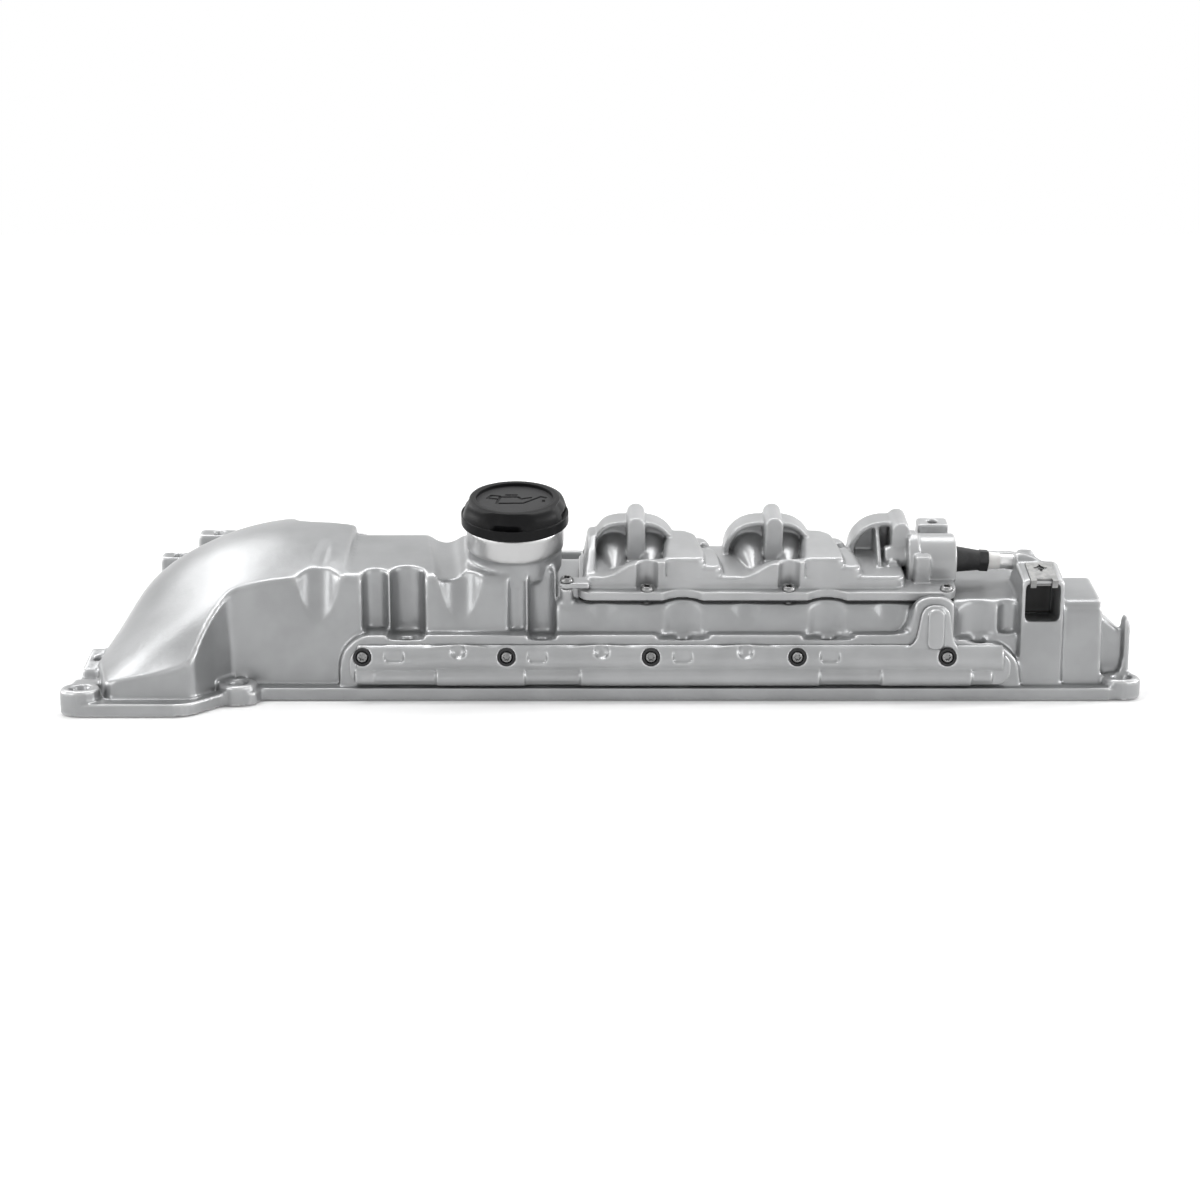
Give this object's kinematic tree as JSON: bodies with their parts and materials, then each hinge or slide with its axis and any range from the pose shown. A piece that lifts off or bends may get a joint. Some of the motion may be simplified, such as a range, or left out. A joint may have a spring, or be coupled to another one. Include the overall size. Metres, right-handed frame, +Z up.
{
  "type": "engine valve cover",
  "caption": "Die-cast valve cover of an inline engine, with oil separator, side rail, plug wells and a turning filler cap.",
  "frame": {"origin": "centre of the overall box in X and Y, on the sealing face in Z", "axes": "+X from the chain case to the gearbox end, +Y from the intake side to the exhaust side, +Z up, square to the sealing face"},
  "size_m": [0.671, 0.24, 0.129],
  "materials": {
    "cast_silver": "satin silver paint over a die casting",
    "black_rubber": "matte",
    "silver_rail": "satin silver paint",
    "silver_separator": "satin silver paint",
    "screw_steel": "zinc plated",
    "baffle_sheet": "pressed sheet",
    "black_plastic": "fine texture",
    "regulator_black": "moulded",
    "pale_plastic": "translucent moulded",
    "nipple_steel": "turned",
    "clip_steel": "spring steel",
    "spring_steel": "drawn wire"
  },
  "bodies": {
    "cover": {"cover_casting": "cast_silver", "perimeter_gasket": "black_rubber", "rail_cover": "silver_rail", "rail_gasket": "black_rubber", "rail_screws": "screw_steel", "rail_screw_seals": "black_rubber", "separator_cover": "silver_separator", "separator_gasket": "black_rubber", "separator_screws": "screw_steel", "baffle_plate": "baffle_sheet", "baffle_screws": "screw_steel", "regulator_cap": "regulator_black", "regulator_diaphragm": "black_rubber", "regulator_spring": "spring_steel", "vent_hose": "black_rubber", "vent_coupling": "pale_plastic", "vent_nipple": "nipple_steel", "clip_nut": "clip_steel", "plug_tube_seal_1": "black_rubber", "plug_tube_seal_2": "black_rubber", "plug_tube_seal_3": "black_rubber", "plug_tube_seal_4": "black_rubber", "plug_tube_seal_5": "black_rubber", "plug_tube_seal_6": "black_rubber"},
    "cap": {"filler_cap": "black_plastic", "filler_cap_seal": "black_rubber"},
    "plunger": {"regulator_plunger": "regulator_black"}
  },
  "joints": [
    {"name": "cap_turn", "type": "hinge", "parent": "cover", "child": "cap", "pos_m": [-0.059, -0.04004, 0.10614], "axis": [0, -0.2113, 0.9774], "range_deg": [0, 90]},
    {"name": "plunger_slide", "type": "slide", "parent": "cover", "child": "plunger", "axis": [-1, 0, 0], "range_m": [0, 0.003], "stiffness_N_per_m": 200, "deforming": ["regulator_spring"]}
  ]
}
